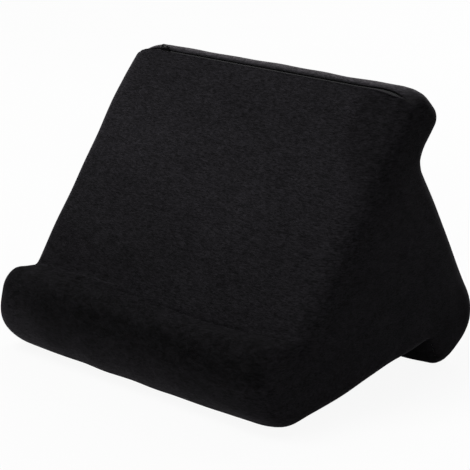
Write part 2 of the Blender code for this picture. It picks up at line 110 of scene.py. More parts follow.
# Places where the stuffing pushes or lets go of the cover: centre, reach along X, Y and Z, and push
PUSHES = (
    ((-0.140, -0.118, 0.064), (0.030, 0.030, 0.020), (0.0030, 0, 0)),
    ((-0.140, -0.118, 0.004), (0.030, 0.030, 0.014), (0.0014, 0, 0.0014)),
    ((-0.140, -0.010, 0.160), (0.050, 0.080, 0.070), (-0.0030, 0, 0)),
    ((-0.140, 0.016, 0.200), (0.035, 0.060, 0.038), (-0.0034, 0, 0)),
    ((-0.112, -0.105, 0.000), (0.032, 0.040, 0.016), (0, 0, 0.0013)),
    ((0.000, 0.052, 0.221), (0.250, 0.020, 0.020), (0, 0, 0.0009)),
    ((-0.137, 0.036, 0.220), (0.011, 0.024, 0.014), (0.0020, 0, -0.0014)),
    ((-0.140, -0.118, 0.034), (0.020, 0.030, 0.018), (0.0008, 0, 0)),
    ((0.140, -0.098, 0.008), (0.016, 0.026, 0.018), (0.0028, 0, 0)),
    ((0.114, -0.112, 0.000), (0.034, 0.030, 0.014), (0, 0, 0.0013)),
    ((0.140, 0.016, 0.018), (0.020, 0.024, 0.016), (-0.0008, 0, 0.0007)),
    ((0.120, 0.060, 0.222), (0.030, 0.024, 0.016), (0, 0, 0.0006)),
    ((0.140, -0.030, 0.000), (0.030, 0.060, 0.030), (0.0010, 0, -0.0010)),
    ((0.140, -0.115, 0.000), (0.030, 0.030, 0.020), (-0.0002, 0, 0)),
    ((0.140, 0.122, 0.055), (0.030, 0.030, 0.028), (0.0002, 0.0006, 0)),
    ((0.140, 0.118, 0.006), (0.030, 0.030, 0.020), (-0.0022, -0.0012, 0.0014)),
    ((0.140, 0.124, 0.032), (0.030, 0.028, 0.015), (0.0022, 0.0019, 0)),
    ((0.140, 0.106, 0.000), (0.020, 0.026, 0.014), (0, 0, 0.0038)),
    ((-0.140, -0.108, 0.064), (0.020, 0.010, 0.014), (0.0009, 0.0005, 0.0020)),
    ((0.140, 0.090, 0.120), (0.040, 0.040, 0.060), (0.0010, 0.0018, 0)),
    ((0.010, -0.105, 0.066), (0.110, 0.020, 0.014), (0, 0, -0.0030)),
    ((0.050, -0.085, 0.060), (0.066, 0.024, 0.024), (0, -0.0032, -0.0036)),
    ((0.126, -0.085, 0.060), (0.024, 0.020, 0.020), (0, 0.0006, 0.0022)),
)

# Folds: places as distance over the width and distance from the ledge's seam, height and reach
FOLDS = (
    (((-0.086, 0.0045), (-0.026, -0.0012)), 0.0017, 0.0036),
    (((0.1418, 0.0142), (0.1440, 0.0008)), -0.0013, 0.0018),
    (((0.1440, 0.0002), (0.1478, 0.0004)), -0.0020, 0.0022),
    (((0.1368, -0.1900), (0.1352, -0.1600)), 0.0009, 0.0017),
)

# Crease of the ledge: distance from its seam at places over the width
CREASE = ((-0.150, 0.0120), (-0.093, 0.0108), (-0.058, 0.0065), (-0.026, 0.0032), (-0.003, 0.0008),
          (0.012, 0.0), (0.083, 0.0), (0.099, 0.0028), (0.119, 0.0034), (0.134, 0.0006))
LEDGE_FADE = (-0.112, -0.080)

# Zip: how far its edges are pulled open and rolled in, its tapes and its coils
ZIP_SETBACK = 0.0055
FRONT_PULL = (0.0040, 0.0100)
CREST_PULL = (0.0014, 0.0040)
MOUTH_HALF = 0.131
MOUTH_TAPER = 0.008
FRONT_ROLL = (0.0016, 0.0130)
CREST_ROLL = (0.0012, 0.0080)
ROLL_LOSS = 0.6
RIGHT_FADE = (0.085, 0.125)
TAPE_DEPTH = 0.0018
TAPE_THICKNESS = 0.0005
TAPE_WIDTH = 0.0115
TAPE_HALF = 0.133
COIL_PITCH = 0.0013
COIL_WIRE = 0.00034
COIL_STEPS = 12
COIL_SIDES = 6
COIL_SQUARENESS = 0.7

# Seams across the width, panels between them and at the ends, and sewn grooves as depth and half of the width
ROW_SEAMS = ("mouth", "ledge_notch", "base_notch", "rear_notch")
PANELS = ("front_face", "lip_base", "heel_back", "crest", "end_left", "end_right")
SEAM_REACH = 0.0012
SEAM_SIDE = 0.0002
END_FADE = 0.006
GROOVES = {
    "ledge_notch": (0.0012, 0.0022),
    "base_notch": (0.0015, 0.0050),
    "rear_notch": (0.0009, 0.0050),
    "end": (0.0002, 0.0022),
}

# Tone of the plush along the cover from each seam: partly the way its nap lies, partly painted light and
# shade, such as painted shade towards the bottom of the front face and on the lip's upper side, and painted
# light from the floor's bounce on the lip's lower rounding
NAP_AND_SHADE_TONES = {
    "mouth": ((0.0, 0.82), (0.030, 0.82), (0.080, 0.87), (0.130, 0.75), (0.175, 0.62)),
    "ledge_notch": ((0.0, 0.50), (0.012, 0.46), (0.030, 0.32), (0.043, 0.19), (0.056, 0.26), (0.068, 0.56),
                    (0.080, 0.76), (0.092, 0.76), (0.120, 0.55), (0.200, 0.50)),
    "base_notch": ((0.0, 0.45), (0.150, 0.62)),
    "rear_notch": ((0.0, 0.66), (0.060, 0.84)),
}
# Painted shade on the layers' inner sides and along the slit's edge
INNER_SHADE_TONE = 0.30
SLIT_SHADE_TONE = 0.60
STRIP_BLEND = 0.003

# Painted light and shade by how the light falls: painted shade low on the left and on the right of the front
# face, painted light high on its left and on the lip's left; factor, and the ranges over which it sets in
# along, over or up the cover
LOW_LEFT_SHADE = (0.84, (-0.060, -0.016), (-0.030, 0.060))
RIGHT_SIDE_SHADE = (0.94, (0.020, 0.090))
HIGH_RANGE = (0.120, 0.210)
HIGH_LEFT_LIGHT = (1.10, (0.010, 0.100))
LIP_LEFT_LIGHT = (1.90, (0.020, 0.040), (0.070, 0.130))

# Tone of the ends, partly their nap and partly painted shade, where it meets the panels' tone, and how far
# that line leans onto the front as painted shade of its soft right edge, by height
END_TONE = 0.57
END_TOP_TONE = 0.76
END_REAR = (0.74, (0.060, 0.100))
END_BLEND = 0.012
RIGHT_EDGE_SHADE_BLEND = 0.013
RIGHT_EDGE_SHADE_SHIFT = ((0.0, 0.0), (0.39, 0.003), (0.54, 0.009), (0.72, 0.017), (0.83, 0.026), (0.90, 0.024),
                    (1.0, 0.016))
RIGHT_EDGE_SHADE_TONE = (1.15, 0.020)
FRONT_LENGTH = 0.19

# Painted shade line in the ledge's crease: tone, reach, the share that it loses at the right, and where
LEDGE_SHADE_LINE = (0.62, 0.0011)
LEDGE_SHADE_LINE_LOSS = 0.3
LEDGE_SHADE_LINE_FADE = (0.090, 0.128)

# Painted sheen: how much lighter the base colour is painted where the nap is seen along the surface, along
# the cover from each seam
PAINTED_SHEEN = {
    "mouth": ((0.0, 0.60), (0.005, 0.60), (0.010, 0.32), (0.190, 0.25)),
    "ledge_notch": ((0.0, 0.0), (0.060, 0.04), (0.085, 0.40), (0.200, 0.45)),
    "base_notch": ((0.0, 0.30), (0.200, 0.35)),
    "rear_notch": ((0.0, 0.40), (0.030, 0.88), (0.090, 0.88)),
}
END_PAINTED_SHEEN = 0.20
LEFT_END_SHARE = 0.4
RIGHT_SHEEN_LOSS = 0.8
PAINTED_SHEEN_GAIN = 5.3

# Crowned form: the cloth simulation, how firmly its seams are pinned, and the most that a point may move
CLOTH = {
    "quality": 6,
    "mass": 0.3,
    "tension_stiffness": 15.0,
    "compression_stiffness": 10.0,
    "shear_stiffness": 6.0,
    "bending_stiffness": 0.6,
    "use_pressure": True,
    "uniform_pressure_force": 4.0,
}
CLOTH_FRAMES = 20
CLOTH_CAP = 0.0022
CLOTH_INWARD = 0.0003
END_PIN = 0.6
ROW_PIN = 1.0
SMOOTH_PASSES = 4

# Soft unevenness: height and length of its waves, the spread of their lengths, and the calm strip at the zip
WAVES_HEIGHT = 0.0004
WAVES_LENGTH = 0.055
WAVES_SPREAD = (0.6, 1.7)
WAVES_COUNT = 14
WAVES_SEED = 5
MOUTH_CALM = (0.004, 0.02)

# Camera: direction, distance and the point that it looks at
VIEW_AZIMUTH = 42.21
VIEW_ELEVATION = 16.0
VIEW_ROLL = 0.95
VIEW_DISTANCE = 1.3943
VIEW_TARGET = (-0.0126, 0.0154, 0.0892)
VIEW_LENS = 137.8
VIEW_SENSOR = 36.0
VIEW_CLIP = 50.0

# Light and floor: strength of the surroundings, lamps as place, size and power, and the floor's measures
SURROUNDINGS = 0.25
LAMPS = {
    "key": ((-0.9, -1.3, 2.6), 1.6, 78.0),
    "fill": ((2.2, -1.4, 1.2), 1.8, 12.0),
    "rear": ((-0.5, 2.2, 1.7), 1.6, 42.0),
}
LAMPS_TARGET = (0.0, 0.0, 0.1)
FLOOR_WHITE = 0.92
FLOOR_HALF = 6.0
FLOOR_LEVEL = -0.0002


def unit(angle):
    """Direction at an angle from +Y towards +Z."""
    return np.array([math.cos(math.radians(angle)), math.sin(math.radians(angle))])


def smooth_step(value, low, high):
    """Smooth rise from 0 to 1 between two values."""
    t = np.clip((value - low) / (high - low), 0.0, 1.0)
    return t * t * (3.0 - 2.0 * t)


class Outline:
    """Rounded outline of the cover's section, moved inwards by an inset."""

    def __init__(self, inset):
        self.names = list(CORNERS)
        corners = np.array([CORNERS[name][:2] for name in self.names])
        edges = np.roll(corners, -1, axis=0) - corners
        directions = edges / np.linalg.norm(edges, axis=1)[:, None]
        self.arcs = [self.arc(i, corners, directions, inset) for i in range(len(self.names))]

    def arc(self, i, corners, directions, inset):
        """Centre, radius, first angle and signed sweep of a corner's rounding."""
        before = directions[i - 1]
        after = directions[i]
        normal_before = np.array([-before[1], before[0]])
        normal_after = np.array([-after[1], after[0]])
        vertex = corners[i] + (normal_before + normal_after) / (1.0 + normal_before @ normal_after) * inset
        turn = math.degrees(math.atan2(before[0] * after[1] - before[1] * after[0], before @ after))
        side = math.copysign(1.0, turn)
        radius = max(CORNERS[self.names[i]][2] - side * inset, SMALLEST_RADIUS)
        first = vertex - before * radius * math.tan(math.radians(abs(turn) / 2))
        centre = first + normal_before * side * radius
        start = math.degrees(math.atan2(first[1] - centre[1], first[0] - centre[0]))
        return centre, radius, start, turn

    def on_arc(self, i, share):
        """Point on a corner's rounding."""
        centre, radius, start, turn = self.arcs[i]
        return centre + radius * unit(start + turn * share)

    def on_edge(self, i, share):
        """Point on the straight stretch after a corner."""
        first = self.on_arc(i, 1.0)
        last = self.on_arc((i + 1) % len(self.arcs), 0.0)
        return first + (last - first) * share

    def point(self, station):
        """Point at a station, which is a corner, whether it is on the rounding, and a share."""
        i, rounded, share = station
        return self.on_arc(i, share) if rounded else self.on_edge(i, share)


def graded(length, fine_start, fine_end, fine, coarse):
    """Shares along a stretch, closer together near an end that is sewn."""
    s = np.linspace(0.0, length, STEP_SAMPLES)
    step = np.full(STEP_SAMPLES, coarse)
    if fine_start:
        step = np.minimum(step, fine + STEP_GROWTH * s)
    if fine_end:
        step = np.minimum(step, fine + STEP_GROWTH * (length - s))
    counted = np.cumsum((1 / step[1:] + 1 / step[:-1]) / 2) * length / (STEP_SAMPLES - 1)
    travelled = np.concatenate([[0.0], counted])
    count = max(1, round(travelled[-1]))
    return np.interp(np.linspace(0.0, travelled[-1], count + 1), travelled, s) / length


def loop_stations(fine, coarse):
    """Stations round the outline from the zip's mouth, and the row where each seam lies."""
    outline = Outline(0.0)
    names = outline.names
    stations = []
    seams = {}

    def add(i, rounded, first, last, fine_start, fine_end):
        length = np.linalg.norm(outline.point((i, rounded, last)) - outline.point((i, rounded, first)))
        limit = coarse
        if rounded:
            radius, turn = outline.arcs[i][1], outline.arcs[i][3]
            length = radius * math.radians(abs(turn)) * (last - first)
            arc_step = math.radians(FINE_ARC_STEP if fine < coarse else ROUGH_ARC_STEP)
            limit = min(coarse, max(fine, radius * arc_step))
        for share in graded(length, fine_start, fine_end, min(fine, limit), limit)[:-1]:
            stations.append((i, rounded, first + (last - first) * share))

    top = names.index("crest_high")
    edge_start = outline.on_edge(top, 0.0)
    edge_end = outline.on_edge(top, 1.0)
    corner = np.array(CORNERS["top_seam"][:2])
    mouth = 1.0 - (ZIP_SETBACK - np.linalg.norm(corner - edge_end)) / np.linalg.norm(edge_end - edge_start)
    seams["mouth"] = 0
    add(top, False, mouth, 1.0, True, False)
    for i, name in enumerate(names):
        if name.endswith("notch"):
            add(i, True, 0.0, 0.5, False, True)
            seams[name] = len(stations)
            add(i, True, 0.5, 1.0, True, False)
        else:
            add(i, True, 0.0, 1.0, False, False)
        if i == top:
            add(i, False, 0.0, mouth, False, True)
        else:
            after = names[(i + 1) % len(names)]
            add(i, False, 0.0, 1.0, name.endswith("notch"), after.endswith("notch"))
    return stations, seams


def across_stations(fine, coarse):
    """Places along X as x, inset and distance over the surface, and the columns of the two end seams."""
    flat = STAND_WIDTH / 2 - END_RADIUS
    middle = [flat * share for share in graded(flat, False, False, fine, coarse)]
    seam = END_RADIUS * math.radians(END_SEAM_ANGLE)
    quarter = END_RADIUS * math.pi / 2
    limit = min(coarse, FINE_END_STEP if fine < coarse else coarse)
    up = [seam * share for share in graded(seam, False, True, min(fine, limit), limit)]
    down = [seam + (quarter - seam) * s for s in graded(quarter - seam, True, False, min(fine, limit), limit)]
    right = [(x, 0.0, x) for x in middle]
    for s in up[1:] + down[1:]:
        angle = s / END_RADIUS
        right.append((flat + END_RADIUS * math.sin(angle), END_RADIUS * (1 - math.cos(angle)), flat + s))
    left = [(-x, inset, -s) for x, inset, s in reversed(right[1:])]
    seam_column = len(middle) - 1 + len(up) - 1
    centre = len(left)
    return left + right, (centre - seam_column, centre + seam_column)


def cap_points(loop, step):
    """Inner points and triangles that close an end, for the loop's (y, z) points."""
    low = loop.min(axis=0)
    high = loop.max(axis=0)
    inner = []
    row = 0
    z = low[1] + step
    while z < high[1]:
        y = low[0] + (step / 2 if row % 2 else 0.0)
        while y < high[0]:
            inner.append((y, z))
            y += step
        z += step * CAP_ROW_PITCH
        row += 1
    inner = np.array(inner)
    after = np.roll(loop, -1, axis=0)
    edge = after - loop
    share = ((inner[:, None] - loop) * edge).sum(axis=2) / (edge ** 2).sum(axis=1)
    nearest = loop + edge * np.clip(share, 0.0, 1.0)[:, :, None]
    distance = np.linalg.norm(inner[:, None] - nearest, axis=2).min(axis=1)
    crossing = (loop[:, 1] > inner[:, None, 1]) != (after[:, 1] > inner[:, None, 1])
    rise = np.where(np.abs(edge[:, 1]) < TINY, TINY, edge[:, 1])
    at = loop[:, 0] + (inner[:, None, 1] - loop[:, 1]) * edge[:, 0] / rise
    inside = ((crossing & (at > inner[:, None, 0])).sum(axis=1) % 2) == 1
    keep = inside & (distance > step * CAP_CLEARANCE)
    inner = inner[keep]
    points = [Vector(p) for p in np.concatenate([loop, inner])]
    found = geometry.delaunay_2d_cdt(points, [], [list(range(len(loop)))], 1, CAP_TOLERANCE)
    if len(found[0]) != len(points):
        raise RuntimeError("the end's points don't match its triangles")
    triangles = []
    for face in found[2]:
        a, b, c = (found[0][k] for k in face)
        turn = (b - a).cross(c - a)
        triangles.append(tuple(face) if turn > 0 else tuple(reversed(face)))
    return inner, distance[keep], triangles


def split(faces):
    """The same faces as triangles."""
    triangles = []
    for face in faces:
        triangles.append(face[:3])
        if len(face) == 4:
            triangles.append((face[0], face[2], face[3]))
    return np.array(triangles)


def point_normals(points, triangles):
    """Normal at each point, pointing out."""
    corners = points[triangles]
    across = np.cross(corners[:, 1] - corners[:, 0], corners[:, 2] - corners[:, 0])
    total = np.zeros_like(points)
    for k in range(3):
        np.add.at(total, triangles[:, k], across)
    return total / np.maximum(np.linalg.norm(total, axis=1), TINY)[:, None]


class Cover:
    """Closed surface of the cover: a grid round the outline and across the width, and an end at each side."""

    def __init__(self, fine, coarse):
        self.stations, self.seams = loop_stations(fine, coarse)
        self.columns, self.end_columns = across_stations(fine, coarse)
        rows = len(self.stations)
        count = len(self.columns)
        self.rows = rows
        self.count = count
        depths = np.linspace(0.0, END_RADIUS, DEPTH_LEVELS)
        nested = []
        for depth in depths:
            outline = Outline(depth)
            nested.append([outline.point(station) for station in self.stations])
        nested = np.array(nested)
        steps = np.linalg.norm(np.roll(nested[0], -1, axis=0) - nested[0], axis=1)
        travelled = np.concatenate([[0.0], np.cumsum(steps)])
        self.length = travelled[-1]
        all_reach, deep = self.softness(travelled[:-1])
        every = np.arange(rows)
        grid = np.zeros((rows, count, 3))
        for c, (x, inset, _) in enumerate(self.columns):
            reach = np.minimum(all_reach, LEFT_REACH) if x < 0 else all_reach
            shrink = (STAND_WIDTH / 2 - reach) / (STAND_WIDTH / 2 - END_RADIUS)
            beyond = abs(x) - (STAND_WIDTH / 2 - END_RADIUS)
            if beyond > 0:
                outer = STAND_WIDTH / 2 - reach + reach * beyond / END_RADIUS
                grid[:, c, 0] = math.copysign(1.0, x) * outer
            else:
                grid[:, c, 0] = x * shrink
            place = inset / END_RADIUS * deep / depths[1]
            low = np.minimum(place.astype(int), len(depths) - 2)
            share = (place - low)[:, None]
            grid[:, c, 1:] = nested[low, every] * (1 - share) + nested[low + 1, every] * share
        faces = []
        panels = []
        left_end, right_end = (PANELS.index(name) for name in ("end_left", "end_right"))
        for r in range(rows):
            strip = max(k for k, name in enumerate(ROW_SEAMS) if r >= self.seams[name])
            after = (r + 1) % rows
            for c in range(count - 1):
                faces.append((r * count + c, after * count + c, after * count + c + 1, r * count + c + 1))
                if c < self.end_columns[0]:
                    panels.append(left_end)
                elif c >= self.end_columns[1]:
                    panels.append(right_end)
                else:
                    panels.append(strip)
        inner, depth, triangles = cap_points(grid[:, -1, 1:], coarse)
        points = [grid.reshape(-1, 3)]
        along = [np.repeat(travelled[:-1], count)]
        over = [np.tile([column[2] for column in self.columns], rows)]
        nearest_row = np.array([np.argmin(((grid[:, -1, 1:] - p) ** 2).sum(axis=1)) for p in inner])
        for side, column, panel in ((1, count - 1, right_end), (-1, 0, left_end)):
            start = rows * count + (0 if side == 1 else len(inner))
            ids = [r * count + column for r in range(rows)] + [start + k for k in range(len(inner))]
            for triangle in triangles:
                corners = triangle if side == 1 else tuple(reversed(triangle))
                faces.append(tuple(ids[k] for k in corners))
                panels.append(panel)
            points.append(np.column_stack([np.full(len(inner), side * STAND_WIDTH / 2), inner]))
            along.append(travelled[nearest_row])
            over.append(side * (self.columns[-1][2] + depth))
        self.points = np.concatenate(points)
        self.along = np.concatenate(along)
        starts = np.array([travelled[self.seams[name]] for name in ROW_SEAMS])
        self.strip = (self.along[:, None] >= starts - TINY).sum(axis=1) - 1
        self.over = np.concatenate(over)
        self.faces = faces
        self.panels = np.array(panels)
        self.triangles = split(faces)

    def softness(self, travelled):
        """Reach along X and depth of the ends' rounding at each row, blended between the named places."""
        places = []
        for name, share, reach, deep in END_SOFTNESS:
            corner = list(CORNERS).index(name)
            wanted = (corner, share is None, 0.5 if share is None else share)
            places.append((self.travelled_to(wanted, travelled), reach, deep))
        places.sort()
        at, reach, deep = (np.array(values) for values in zip(*places))
        at = np.concatenate([at - self.length, at, at + self.length])
        blend = np.linspace(-SOFT_BLEND, SOFT_BLEND, SOFT_SAMPLES)
        spread = (travelled[:, None] + blend).ravel()
        spreads = [np.interp(spread, at, np.tile(values, 3)) for values in (reach, deep)]
        return [values.reshape(-1, SOFT_SAMPLES).mean(axis=1) for values in spreads]

    def travelled_to(self, wanted, travelled):
        """Distance round the outline to the station nearest to a wanted one."""
        gaps = [abs(s[2] - wanted[2]) if s[:2] == wanted[:2] else math.inf for s in self.stations]
        return travelled[int(np.argmin(gaps))]

    def normals(self, points):
        """Normals of the cover with its points moved to others."""
        return point_normals(points, self.triangles)

    def row_distance(self, name):
        """Signed distance of each point from a seam that runs across the width."""
        seam = self.along[self.seams[name] * self.count]
        return (self.along - seam + self.length / 2) % self.length - self.length / 2

    def end_distance(self):
        """Signed distance of each point from the end seams, positive on the ends."""
        seam = abs(self.columns[self.end_columns[1]][2])
        return np.abs(self.over) - seam

    def seam_points(self):
        """Points on the seams that run across the width."""
        first, last = self.end_columns
        return [self.seams[name] * self.count + c for name in ROW_SEAMS for c in range(first, last + 1)]

    def end_seam_points(self):
        """Points on the two end seams."""
        return [r * self.count + c for c in self.end_columns for r in range(self.rows)]


def inflate(cover):
    """Cloth simulation of the sewn cover under pressure: how far each point moves."""
    scene = bpy.context.scene
    mesh = bpy.data.meshes.new("trial_cover")
    mesh.from_pydata(cover.points.tolist(), [], cover.faces)
    trial = bpy.data.objects.new("trial_cover", mesh)
    scene.collection.objects.link(trial)
    group = trial.vertex_groups.new(name="seams")
    group.add(cover.end_seam_points(), END_PIN, "REPLACE")
    group.add(cover.seam_points(), ROW_PIN, "REPLACE")
    cloth = trial.modifiers.new("Cloth", "CLOTH")
    for key, value in CLOTH.items():
        setattr(cloth.settings, key, value)
    cloth.settings.effector_weights.gravity = 0.0
    cloth.settings.vertex_group_mass = "seams"
    cloth.point_cache.frame_start = 1
    cloth.point_cache.frame_end = CLOTH_FRAMES
    for number in range(1, CLOTH_FRAMES + 1):
        scene.frame_set(number)
    shown = trial.evaluated_get(bpy.context.evaluated_depsgraph_get())
    swollen = np.zeros(len(cover.points) * 3)
    shown.data.vertices.foreach_get("co", swollen)
    bpy.data.objects.remove(trial)
    scene.frame_set(1)
    return swollen.reshape(-1, 3) - cover.points


def carried(moves, rough, points):
    """Moves of the rough surface's points, carried to other points by the nearest triangle."""
    tree = BVHTree.FromPolygons([Vector(p) for p in rough.points], rough.triangles.tolist())
    result = np.zeros_like(points)
    for k, point in enumerate(points):
        location, _, index, _ = tree.find_nearest(Vector(point))
        corners = rough.triangles[index]
        a, b, c = (Vector(rough.points[n]) for n in corners)
        weights = geometry.barycentric_transform(
            location, a, b, c, Vector((1, 0, 0)), Vector((0, 1, 0)), Vector((0, 0, 1)))
        result[k] = np.array(weights) @ moves[corners]
    return result


def held(cover, moves):
    """Moves of the cover along its normals, smoothed, capped, and held out by the foam."""
    normals = cover.normals(cover.points)
    out = (moves * normals).sum(axis=1)
    pairs = cover.triangles[:, [0, 1, 1, 2, 2, 0]].reshape(-1, 2)
    for _ in range(SMOOTH_PASSES):
        total = out.copy()
        weight = np.ones(len(out))
        for a, b in ((0, 1), (1, 0)):
            np.add.at(total, pairs[:, a], out[pairs[:, b]])
            np.add.at(weight, pairs[:, a], 1.0)
        out = total / weight
    outward = CLOTH_CAP * np.tanh(out / CLOTH_CAP)
    inward = -CLOTH_INWARD * np.tanh(-out / CLOTH_INWARD)
    return normals * np.where(out > 0, outward, inward)[:, None]


def waves(points):
    """Smooth irregular heights over the surface, mostly from -1 to 1."""
    random = np.random.default_rng(WAVES_SEED)
    total = np.zeros(len(points))
    for _ in range(WAVES_COUNT):
        direction = random.normal(size=3)
        direction /= np.linalg.norm(direction)
        phase = random.uniform(0, 2 * math.pi)
        length = WAVES_LENGTH * random.uniform(*WAVES_SPREAD)
        total += np.sin(points @ direction * 2 * math.pi / length + phase)
    return total / WAVES_COUNT ** 0.5


def groove(distance, depth, reach):
    """Depth of a sewn groove at a distance from its seam."""
    return depth * np.clip(1.0 - np.abs(distance) / reach, 0.0, 1.0) ** 2


def shaped(cover, moves):
    """The cover's points with its crowned form, soft unevenness and sewn grooves."""
    points = cover.points + moves
    normals = cover.normals(points)
    seam_fade = 1.0 - smooth_step(cover.end_distance(), 0.0, END_FADE)
    depth = np.zeros(len(points))
    for name in ROW_SEAMS[1:]:
        distance = cover.row_distance(name)
        fade = 1.0
        if name == "ledge_notch":
            distance = crease_distance(cover)
            fade = smooth_step(cover.over, *LEDGE_FADE)
        depth = np.maximum(depth, groove(distance, *GROOVES[name]) * seam_fade * fade)
    depth = np.maximum(depth, groove(cover.end_distance(), *GROOVES["end"]))
    for centre, reach, push in PUSHES:
        away = ((cover.points - np.array(centre)) / np.array(reach)) ** 2
        points = points + np.exp(-away.sum(axis=1))[:, None] * np.array(push)
    near_mouth = 1.0 - smooth_step(np.abs(cover.row_distance("mouth")), *MOUTH_CALM)
    height = WAVES_HEIGHT * waves(points) * (1.0 - near_mouth)
    points = points + normals * (height - depth + folds(cover))[:, None]
    points[:, 2] = np.maximum(points[:, 2], 0.0)
    return points


def crease_distance(cover):
    """Signed distance of each point from the ledge's crease."""
    places, offsets = zip(*CREASE)
    return cover.row_distance("ledge_notch") - np.interp(cover.over, places, offsets)


def folds(cover):
    """Height of the folds at each point."""
    place = np.column_stack([cover.over, cover.row_distance("ledge_notch")])
    total = np.zeros(len(place))
    for (first, last), height, reach in FOLDS:
        first = np.array(first)
        line = np.array(last) - first
        share = np.clip((place - first) @ line / (line @ line), 0.0, 1.0)
        away = np.linalg.norm(place - first - share[:, None] * line, axis=1)
        total += height * np.exp(-(away / reach) ** 2)
    return total


def mouth_pull(x, most):
    """How far the mouth's edge is pulled open at a place along X."""
    fade = 1.0 - smooth_step(np.abs(x), MOUTH_HALF - MOUTH_TAPER, MOUTH_HALF)
    return SEAM_GAP / 2 + (most - SEAM_GAP / 2) * fade


def along_panels(cover, values):
    """Value at each point from tables along the cover, blended where one panel meets the next."""
    total = np.zeros(len(cover.points))
    for k, name in enumerate(ROW_SEAMS):
        following = ROW_SEAMS[(k + 1) % len(ROW_SEAMS)]
        distance = cover.row_distance(name) % cover.length
        left = -cover.row_distance(following)
        places, wanted = zip(*values[name])
        value = np.interp(distance, places, wanted)
        near_start = np.abs(cover.row_distance(name)) < STRIP_BLEND
        near_end = np.abs(left) < STRIP_BLEND
        value = np.where(near_start, wanted[0], value)
        share = np.where(cover.strip == k, 1.0, 0.0)
        share = np.where(near_start, smooth_step(cover.row_distance(name), -STRIP_BLEND, STRIP_BLEND), share)
        share = np.where(near_end, smooth_step(left, -STRIP_BLEND, STRIP_BLEND), share)
        total += value * share
    return total


def end_and_edge_shade_share(cover):
    """Share of the ends' tone at each point, partly their nap and partly painted shade, which leans onto the
    front face at the right as painted shade of its soft edge.
    """
    seam = abs(cover.columns[cover.end_columns[1]][2])
    on_front = (cover.strip == 0) & (cover.over > 0)
    height = np.clip(-cover.row_distance("ledge_notch") / FRONT_LENGTH, 0.0, 1.0)
    heights, shifts = zip(*RIGHT_EDGE_SHADE_SHIFT)
    centre = np.where(on_front, seam - np.interp(height, heights, shifts), seam)
    reach = np.where(on_front, RIGHT_EDGE_SHADE_BLEND, END_BLEND) / 2
    return smooth_step(np.abs(cover.over), centre - reach, centre + reach)


def toned(factor, share):
    """Factor of a place's tone that sets in by a share."""
    return 1.0 + (factor - 1.0) * share


def nap_and_shade_tones(cover):
    """Tone of the plush at each point: the way its nap lies, with painted light and shade."""
    on_front = cover.strip == 0
    on_lip = cover.strip == 1
    below_ledge = cover.row_distance("ledge_notch")
    high = smooth_step(cover.points[:, 2], *HIGH_RANGE)
    tone = along_panels(cover, NAP_AND_SHADE_TONES)
    # Painted shade low on the left and on the right of the front face, painted light high on its left and on
    # the lip's left
    factor, along, over = LOW_LEFT_SHADE
    tone *= toned(factor, smooth_step(below_ledge, *along) * smooth_step(-cover.over, *over) * on_front)
    factor, over = RIGHT_SIDE_SHADE
    tone *= toned(factor, smooth_step(cover.over, *over) * on_front)
    factor, over = HIGH_LEFT_LIGHT
    tone *= toned(factor, high * smooth_step(-cover.over, *over) * on_front)
    factor, along, over = LIP_LEFT_LIGHT
    tone *= toned(factor, smooth_step(below_ledge, *along) * smooth_step(-cover.over, *over) * on_lip)
    # Painted shade along the ledge's crease, weaker towards the right
    factor, reach = LEDGE_SHADE_LINE
    near = np.exp(-(crease_distance(cover) / reach) ** 2) * smooth_step(cover.over, *LEDGE_FADE)
    near *= 1.0 - LEDGE_SHADE_LINE_LOSS * smooth_step(cover.over, *LEDGE_SHADE_LINE_FADE)
    tone *= toned(factor, near)
    # The ends' tone, partly their nap and partly painted shade, darker at the top and at the rear
    end = END_TONE * toned(END_TOP_TONE, high)
    factor, behind = END_REAR
    end *= toned(factor, smooth_step(cover.points[:, 1], *behind))
    # Where the ends' painted shade leans onto the front face, it is lighter near the seam
    factor, reach = RIGHT_EDGE_SHADE_TONE
    end *= toned(factor, (1.0 - smooth_step(cover.end_distance(), 0.0, reach)) * on_front)
    share = end_and_edge_shade_share(cover)
    return tone * (1.0 - share) + end * share


def painted_sheens(cover):
    """Share of painted sheen at each point, which paints the base colour lighter where the surface is seen
    along it.
    """
    share = end_and_edge_shade_share(cover) * np.where(cover.over < 0, LEFT_END_SHARE, 1.0)
    lost = RIGHT_SHEEN_LOSS * smooth_step(cover.over, *RIGHT_FADE) * (cover.strip == 0)
    return along_panels(cover, PAINTED_SHEEN) * (1.0 - lost) * (1.0 - share) + END_PAINTED_SHEEN * share


def add_mesh(name, points, faces, material):
    """Object with smooth faces from points and faces."""
    mesh = bpy.data.meshes.new(name)
    mesh.from_pydata(np.asarray(points).tolist(), [], [tuple(face) for face in faces])
    mesh.validate()
    mesh.shade_smooth()
    mesh.materials.append(material)
    obj = bpy.data.objects.new(name, mesh)
    bpy.context.scene.collection.objects.link(obj)
    return obj


def closed_shell(faces, count):
    """Upper and lower faces of a layer, and the rim between them."""
    edges = set()
    for face in faces:
        edges.update(zip(face, face[1:] + face[:1]))
    rim = sorted((a, b) for a, b in edges if (b, a) not in edges)
    lower = [tuple(v + count for v in reversed(face)) for face in faces]
    return faces + lower + [(b, a, a + count, b + count) for a, b in rim]


def paint_tone_and_sheen(piece, cover, used, slit):
    """Tone of the nap with painted light and shade, and the painted sheen, at a layer's points, with painted
    shade on the inner side and at the slit.
    """
    shaded_tones = nap_and_shade_tones(cover)[used]
    sheens = painted_sheens(cover)[used]
    # Painted shade along the slit's edge, which gets no painted sheen
    shaded_tones[slit] *= SLIT_SHADE_TONE
    sheens[slit] = 0.0
    for key, values, inner in (("nap_and_shade_tone", shaded_tones, INNER_SHADE_TONE), ("painted_sheen", sheens, 0.0)):
        attribute = piece.data.attributes.new(key, "FLOAT", "POINT")
        attribute.data.foreach_set("value", np.concatenate([values, values * inner]).astype(np.float32))


